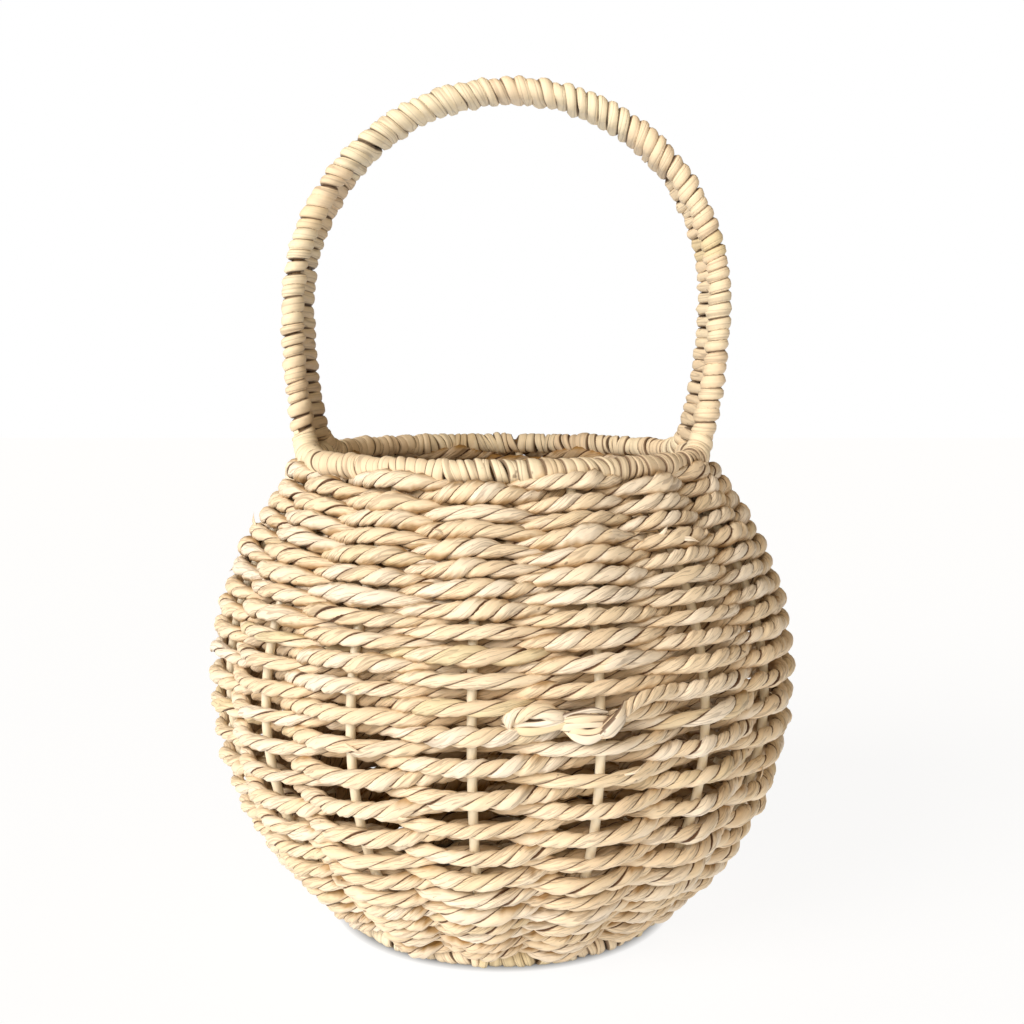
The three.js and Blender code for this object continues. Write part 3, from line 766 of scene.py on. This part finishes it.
# The line midway between the bows, and half the gap between them
def bowLine():
    drop = handle["archHeight"] - rimHoop["height"]
    footReach = math.sqrt(rimHoop["radius"] ** 2 - handle["footSpread"] ** 2)
    arch = math.pi * handle["archRadius"]
    run = np.linspace(0, 2 * drop + arch, 3000)
    fromFoot = np.minimum(run, 2 * drop + arch - run)
    onLeg = fromFoot < drop
    below = np.where(onLeg, drop - fromFoot, 0)
    side = np.where(run < drop + arch / 2, -1.0, 1.0)
    turn = math.pi - (run - drop) / handle["archRadius"]
    legReach = handle["archRadius"] - (handle["archRadius"] - footReach) * (below / drop) ** 2
    across = np.where(onLeg, side * legReach, handle["archRadius"] * np.cos(turn))
    height = handle["archHeight"] + np.where(onLeg, -below, handle["archRadius"] * np.sin(turn))
    rise = (height - rimHoop["height"]) / (handle["archHeight"] + handle["archRadius"] - rimHoop["height"])
    spread = handle["footSpread"] + (handle["crownSpread"] - handle["footSpread"]) * rise
    line = np.stack([across + handle["lean"] * rise, np.zeros_like(run), height], axis=1)
    return lengthAlong(line), line, spread


# One turn of the husk, from the top of the front bow, down its front and back there: rows of back, up,
# which side of the leaf looks out, how far it is between the bows, and how far it swings along the handle
def huskTurn(half):
    reach = handle["reach"]
    if half < handle["together"]:
        a = np.radians(np.linspace(90, 270, 24))
        way = (a - a[0]) / math.pi
        back = handle["crownBack"]
        front = [-half + reach * np.cos(a), reach * np.sin(a), a * 0 + 1, a * 0, smooth(way) - 0.5]
        rear = [half - reach * np.cos(a), -reach * np.sin(a), a * 0 + 1, a * 0, back / 2 - back * way]
        outline = np.concatenate([front, rear], axis=1)
    else:
        leave = math.acos(reach / half)        # where the husk leaves a bow for the other one
        a = np.linspace(leave, 2 * math.pi - leave, 37)
        swing = smooth((a - leave) / (a[-1] - leave)) - 0.5
        front = np.array([-half + reach * np.cos(a), reach * np.sin(a), a * 0 + 1, a * 0, swing])
        rear = np.array([half - reach * np.cos(a), reach * np.sin(a), a * 0 - 1, a * 0, swing])
        f = np.linspace(0, 1, 9)[1:-1]
        overTo = front[:, -1:] + (rear[:, :1] - front[:, -1:]) * f
        backTo = rear[:, -1:] + (front[:, :1] - rear[:, -1:]) * f
        for between in (overTo, backTo):
            between[3] = np.sin(math.pi * f)
        top = int(np.argmin(np.abs(a - math.pi / 2)))
        outline = np.concatenate([front[:, top:], overTo, rear, backTo, front[:, :top]], axis=1)
    closed = np.concatenate([outline, outline[:, :1]], axis=1)
    around = lengthAlong(closed[:2].T)
    even = np.arange(handle["perTurn"]) / handle["perTurn"] * around[-1]
    return [np.interp(even, around, row) for row in closed]


def bindHandle(name, seed):
    rng = np.random.default_rng(seed)
    along, line, spread = bowLine()
    turns = int((along[-1] - 2 * handle["start"]) / handle["pitch"])
    t = np.arange(turns * handle["perTurn"]) / handle["perTurn"]
    stray = handle["stray"] * wander(rng, t, handle["strayStep"])
    room = roomBetween(t, stray, handle["room"])
    at = handle["start"] + (t + stray) * handle["pitch"]
    halves = np.interp(handle["start"] + (np.arange(turns) + 0.5) * handle["pitch"], along, spread)
    y, n, outer, crossing, swing = np.concatenate([huskTurn(half) for half in halves], axis=1)
    half = np.interp(at, along, spread)
    high = smooth((handle["slantFrom"] - half) / handle["slantOver"])
    slant = handle["legSlant"] + (handle["slant"] - handle["legSlant"]) * high
    at = at + slant * handle["pitch"] * swing
    middle = pointsAt(at, along, line)
    ahead = unit(pointsAt(at + 1, along, line) - pointsAt(at - 1, along, line))
    backward = np.array([0, 1.0, 0])
    normal = np.cross(ahead, backward)              # away from the hand
    swell = handle["swell"] * wander(rng, t, handle["swellStep"])
    path = middle + (n * (1 + swell / handle["reach"]))[:, None] * normal + y[:, None] * backward
    face = np.cross(np.gradient(path, axis=0), ahead)
    pulled = 1 - handle["crossing"] * crossing
    return windLeaf(name, rng, path, face, handleLeaf, width=room * pulled, depth=pulled, outer=outer)


fitPiece(bindHandle("handle_husk", 9), "husk_binding", "handle_binding")

# Lashing: a few wraps tie each bow's foot to the rim. Their axis comes down the bow and bends along the rim.
lashing = {
    "wraps": 5.2, "above": 10.0, "beyond": 10.0,
    "liftAtBow": 3.1, "liftAtRim": 4.0,
    "tuck": 1.4, "tuckPace": 14,     # both ends go under by this much, within 1/14 of the way
}
lashLeaf = {"wide": 2.1, "deep": 1.35, "boxy": 0.95, "tilt": -6.0, "edge": 0.8, "touch": 0.75, "uneven": 0.3,
            "unevenStep": 12.0, "sides": 12, "perTurn": 28}


# side is -1 on the left and 1 on the right, row is -1 for the front bow and 1 for the rear one
def lashFoot(name, seed, side, row):
    rng = np.random.default_rng(seed)
    along, line, spread = bowLine()
    places = [0.0, lashing["above"]] if side < 0 else [along[-1], along[-1] - lashing["above"]]
    ends = pointsAt(places, along, line)
    ends[:, 1] = row * np.interp(places, along, spread)
    foot, top = ends
    turn = math.atan2(foot[1], foot[0]) + row * side * lashing["beyond"] / rimHoop["radius"]
    rimEnd = (rimHoop["radius"] * math.cos(turn), rimHoop["radius"] * math.sin(turn), rimHoop["height"])
    count = int(lashing["wraps"] * lashLeaf["perTurn"])
    axis = bendLine(top, foot, rimEnd, count)
    ahead = unit(np.gradient(axis, axis=0))
    outward = axis * np.array([1, 1, 0])
    outward = unit(outward - (outward * ahead).sum(axis=1)[:, None] * ahead)
    t = np.linspace(0, 1, count)
    wind = row * side * 2 * math.pi * lashing["wraps"] * t + rng.uniform(0, 6)
    lift = lashing["liftAtBow"] + (lashing["liftAtRim"] - lashing["liftAtBow"]) * t
    tucked = smooth(1 - t * lashing["tuckPace"]) + smooth(1 - (1 - t) * lashing["tuckPace"])
    lift -= lashing["tuck"] * tucked
    face = np.cos(wind)[:, None] * outward + np.sin(wind)[:, None] * np.cross(ahead, outward)
    return windLeaf(name, rng, axis + face * lift[:, None], face, lashLeaf)


for i, (side, row) in enumerate(((-1, -1), (1, -1), (-1, 1), (1, 1))):
    fitPiece(lashFoot(f"foot_lashing_{i + 1}", 31 + i, side, row), "husk_binding", "handle_binding")
print("handle bound")


# Ribs: one wire is drawn in the XZ plane and copied round
def makeRib():
    heel = math.radians(cage["heel"])
    sweep = math.radians(cage["shoulder"] - cage["heel"])
    start = besideBall(cage["heel"], 0)
    clearSelection()
    bpy.ops.mesh.primitive_circle_add(vertices=12, radius=cage["ribWire"] * mm, fill_type="NOTHING",
                                      location=(start[0] * mm, 0, start[1] * mm), rotation=(0, -heel, 0))
    rib = bpy.context.object
    bpy.ops.object.transform_apply(location=True, rotation=True, scale=True)
    bpy.ops.object.mode_set(mode="EDIT")
    bpy.ops.mesh.select_all(action="SELECT")
    bpy.ops.mesh.spin(steps=64, angle=sweep, center=(0, 0, cage["ballCentre"] * mm), axis=(0, 1, 0))
    for tail in (wallLine[-cage["tailPoints"]:], wallLine[:cage["tailPoints"]][::-1]):
        extendRib(rib, tail)
    bpy.ops.mesh.select_all(action="SELECT")
    bpy.ops.mesh.normals_make_consistent(inside=False)
    bpy.ops.object.mode_set(mode="OBJECT")
    bpy.ops.object.shade_smooth()
    rib.data.materials.append(wireCoat)
    return rib


# Extrudes the end ring nearest the tail's first point along it, turning it as it goes, and caps it
def extendRib(rib, tail):
    bpy.ops.mesh.select_all(action="DESELECT")
    bpy.ops.object.mode_set(mode="OBJECT")
    first = Vector((tail[0][0] * mm, 0, tail[0][1] * mm))
    for vertex in rib.data.vertices:
        vertex.select = (vertex.co - first).length < 1.2 * cage["ribWire"] * mm
    bpy.ops.object.mode_set(mode="EDIT")
    stops = tail[::8].tolist() + [tail[-1].tolist()]       # every eighth point is enough for a smooth bend
    heading = None
    for here, there in zip(stops, stops[1:]):
        step = Vector(((there[0] - here[0]) * mm, 0, (there[1] - here[1]) * mm))
        if step.length < 1e-6:
            continue
        now = math.atan2(step.x, step.z)
        bpy.ops.mesh.extrude_region_move(TRANSFORM_OT_translate={"value": step})
        if heading is not None:
            bpy.ops.transform.rotate(value=-(now - heading), orient_axis="Y",
                                     center_override=(there[0] * mm, 0, there[1] * mm))
        heading = now
    bpy.ops.mesh.edge_face_add()


# Copies a piece round the basket's axis, each copy with its own mesh, and uses up the first
def copyRound(piece, count, start, names):
    copies = []
    for i in range(count):
        clearSelection()
        copy = piece.copy()
        copy.data = piece.data.copy()
        copy.name = names(i)
        bpy.context.collection.objects.link(copy)
        copy.select_set(True)
        bpy.context.view_layer.objects.active = copy
        copy.rotation_euler = (0, 0, start + i * 2 * math.pi / count)
        bpy.ops.object.transform_apply(location=True, rotation=True, scale=True)
        copies.append(copy)
    bpy.data.objects.remove(piece)
    return copies


for i, rib in enumerate(copyRound(makeRib(), cage["ribs"], firstRib, lambda i: f"rib_wire_{i + 1:02d}")):
    fitPiece(rib, "coated_wire", f"rib_{i + 1:02d}")
print("ribs done")


# Floor: nine spokes on the foot hoop, a hub ring, and one rope woven round the spokes
basketFloor = {
    "spokes": 9, "spokeWire": 1.25, "hubRadius": 7.0,
    "spokeEdge": 0.35,       # a spoke's rounded ends
    "gap": 0.3,              # between the floor's pieces
    "rows": 7,
    "ropeHalf": 2.6,         # half the room that a row of rope takes
    "passing": 1.7,          # from a spoke's wire to the rope's middle
    "tall": 0.9, "thick": 1.05, "shade": 0.25,
    "plyReach": 1.0, "plyDeep": 1.2, "plyWide": 1.8, "twist": 16.0, "lean": -0.45,
    "joinEvery": (90.0, 320.0), "joinExtra": 0.2, "joinLength": 8.0, "creaseWide": 0.34,
    "ringStep": 1.4, "sides": 8,
}
spokeLow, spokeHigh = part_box("floor_spoke_1")
spokeHeight = (spokeLow[2] + spokeHigh[2]) / 2
spokeStart = basketFloor["hubRadius"] + basketFloor["spokeWire"] + basketFloor["gap"]
firstSpoke = firstRib + ribStep / 2


def makeSpoke():
    clearSelection()
    length = (footHoop["radius"] - spokeStart) * mm
    bpy.ops.mesh.primitive_cylinder_add(vertices=14, radius=basketFloor["spokeWire"] * mm, depth=length,
                                        location=(spokeStart * mm + length / 2, 0, spokeHeight),
                                        rotation=(0, math.pi / 2, 0))
    spoke = bpy.context.object
    bpy.ops.object.transform_apply(location=True, rotation=True, scale=True)
    bpy.ops.object.mode_set(mode="EDIT")
    bpy.ops.mesh.select_all(action="DESELECT")
    bpy.ops.object.mode_set(mode="OBJECT")
    for face in spoke.data.polygons:
        face.select = abs(face.normal.x) > 0.9
    bpy.ops.object.mode_set(mode="EDIT")
    bpy.ops.mesh.bevel(offset=basketFloor["spokeEdge"] * mm, segments=2, affect="EDGES")
    bpy.ops.object.mode_set(mode="OBJECT")
    bpy.ops.object.shade_smooth()
    spoke.data.materials.append(wireCoat)
    return spoke


spokes = copyRound(makeSpoke(), basketFloor["spokes"], firstSpoke, lambda i: f"spoke_wire_{i + 1}")
for i, spoke in enumerate(spokes):
    fitPiece(spoke, "coated_wire", f"floor_spoke_{i + 1}")

clearSelection()
bpy.ops.mesh.primitive_torus_add(major_radius=basketFloor["hubRadius"] * mm,
                                 minor_radius=basketFloor["spokeWire"] * mm,
                                 major_segments=40, minor_segments=12, location=(0, 0, spokeHeight))
hub = bpy.context.object
hub.name = "hub_ring"
bpy.ops.object.transform_apply(location=True, rotation=True, scale=True)
bpy.ops.object.shade_smooth()
hub.data.materials.append(wireCoat)
fitPiece(hub, "coated_wire", "floor_hub")


def weaveFloor():
    rng = np.random.default_rng(21)
    steps = np.linspace(0, basketFloor["rows"] * basketFloor["spokes"], 9000)
    turn = firstSpoke + steps * 2 * math.pi / basketFloor["spokes"]
    inner = spokeStart + basketFloor["ropeHalf"] + basketFloor["gap"]
    outer = footHoop["radius"] - footLeaf["lift"] - basketFloor["ropeHalf"] - 3 * basketFloor["gap"]
    radius = inner + (outer - inner) * steps / steps[-1]
    lift = (basketFloor["spokeWire"] + basketFloor["passing"]) * np.cos(math.pi * steps)
    points = levelOut(turn) * radius[:, None]
    points[:, 2] = spokeHeight / mm + lift
    along = lengthAlong(points)
    even = np.arange(0, along[-1], basketFloor["ringStep"])
    middle = pointsAt(even, along, points)
    outward = levelOut(np.interp(even, along, turn))
    upward = np.broadcast_to(np.array([0, 0, 1.0]), outward.shape)
    ones = np.ones_like(even)
    return twistPlies("floor_rope", rng, even, middle, outward, upward, ones * basketFloor["tall"],
                      ones * basketFloor["thick"], ones * basketFloor["shade"], basketFloor)


for ply in weaveFloor():
    fitPiece(ply, "husk_rope", "floor_weaver")
print("floor done")

# What stays of the cage's own pieces: both hoops and both bows, inside their husk, in a dark brown coat of
# painted shade
for node in ("rim_hoop", "foot_hoop", "front_bow", "rear_bow"):
    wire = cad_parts[node]
    wire.data.materials.clear()
    wire.data.materials.append(hiddenWireShadeCoat)


# Camera at the photograph's viewing angle. It looks down by some degrees, with a lens for film 36 mm wide
view = {"x": 3.4, "back": 494.4, "height": 209.2, "down": 6.67, "lens": 46.09, "film": 36.0}
cameraData = bpy.data.cameras.new("camera")
cameraData.lens = view["lens"]
cameraData.sensor_width = view["film"]
cameraData.clip_start = 0.01
camera = bpy.data.objects.new("camera", cameraData)
camera.location = (view["x"] * mm, -view["back"] * mm, view["height"] * mm)
camera.rotation_euler = (math.radians(90 - view["down"]), 0, 0)
bpy.context.collection.objects.link(camera)
bpy.context.scene.camera = camera

# Studio: a pale paper sweep that glows, as painted light, so that hardly a shadow shows, but not under the
# basket, where the want of glow is a painted shadow. The backdrop is white to the eye and lights the basket
# less than it shows
studio = {
    "paper": "#585857",
    "glow": 0.91, "footGlow": 0.02,        # away from the basket, and under it
    "glowFrom": 60.0, "glowTo": 66.0,      # from the basket's axis
    "backdrop": "#FFFFFF", "fill": "#FFDDAE", "fillStrength": 0.17,
}
floorMaterial, tree = newMaterial("paleFloor")
floorPlace = addNode(tree, "ShaderNodeTexCoord")
fromAxis = addNode(tree, "ShaderNodeVectorMath", {"operation": "LENGTH"},
                   {"Vector": floorPlace.outputs["Object"]})
floorGlow = addNode(tree, "ShaderNodeMapRange",
                    {"From Min": studio["glowFrom"] * mm, "From Max": studio["glowTo"] * mm,
                     "To Min": studio["footGlow"], "To Max": studio["glow"]},
                    {"Value": fromAxis.outputs["Value"]})
floorShader = addNode(tree, "ShaderNodeBsdfPrincipled",
                      {"Base Color": linear(studio["paper"]), "Roughness": 0.9,
                       "Emission Color": linear(studio["backdrop"])},
                      {"Emission Strength": floorGlow.outputs[0]})
finishMaterial(tree, floorShader)
clearSelection()
bpy.ops.mesh.primitive_plane_add(size=6, location=(0, 0, 0))
floor = bpy.context.object
floor.name = "pale_floor"
floor.data.materials.append(floorMaterial)

world = bpy.data.worlds.new("studio")
bpy.context.scene.world = world
world.use_nodes = True
tree = world.node_tree
background = tree.nodes["Background"]
ray = addNode(tree, "ShaderNodeLightPath")
glow = addNode(tree, "ShaderNodeMix",
               {"data_type": "RGBA", mixA: linear(studio["fill"]), mixB: linear(studio["backdrop"])},
               {0: ray.outputs["Is Camera Ray"]})
strength = addNode(tree, "ShaderNodeMapRange", {"To Min": studio["fillStrength"], "To Max": 1.0},
                   {"Value": ray.outputs["Is Camera Ray"]})
tree.links.new(glow.outputs[mixOut], background.inputs["Color"])
tree.links.new(strength.outputs[0], background.inputs["Strength"])

# Big soft lamps, so far off that they light the whole floor alike. Spread is in degrees
lamps = {
    "key": {"place": (-0.9, -0.78, 0.6), "spread": 36, "power": 2.78, "colour": "#FFFCF8"},
    "front": {"place": (-0.1, -1.0, 0.3), "spread": 60, "power": 1.15, "colour": "#FFF0DA"},
}


def softLamp(name, place, spread, power, colour):
    data = bpy.data.lights.new(name, "SUN")
    data.angle = math.radians(spread)
    data.energy = power
    data.color = linear(colour)[:3]
    lamp = bpy.data.objects.new(name, data)
    lamp.location = place
    lamp.rotation_euler = (-Vector(place)).to_track_quat("-Z", "Y").to_euler()
    bpy.context.collection.objects.link(lamp)


for name, lamp in lamps.items():
    softLamp(name, **lamp)
bpy.context.scene.view_settings.view_transform = "Standard"
bpy.context.scene.cycles.use_denoising = True

print("scene ready")
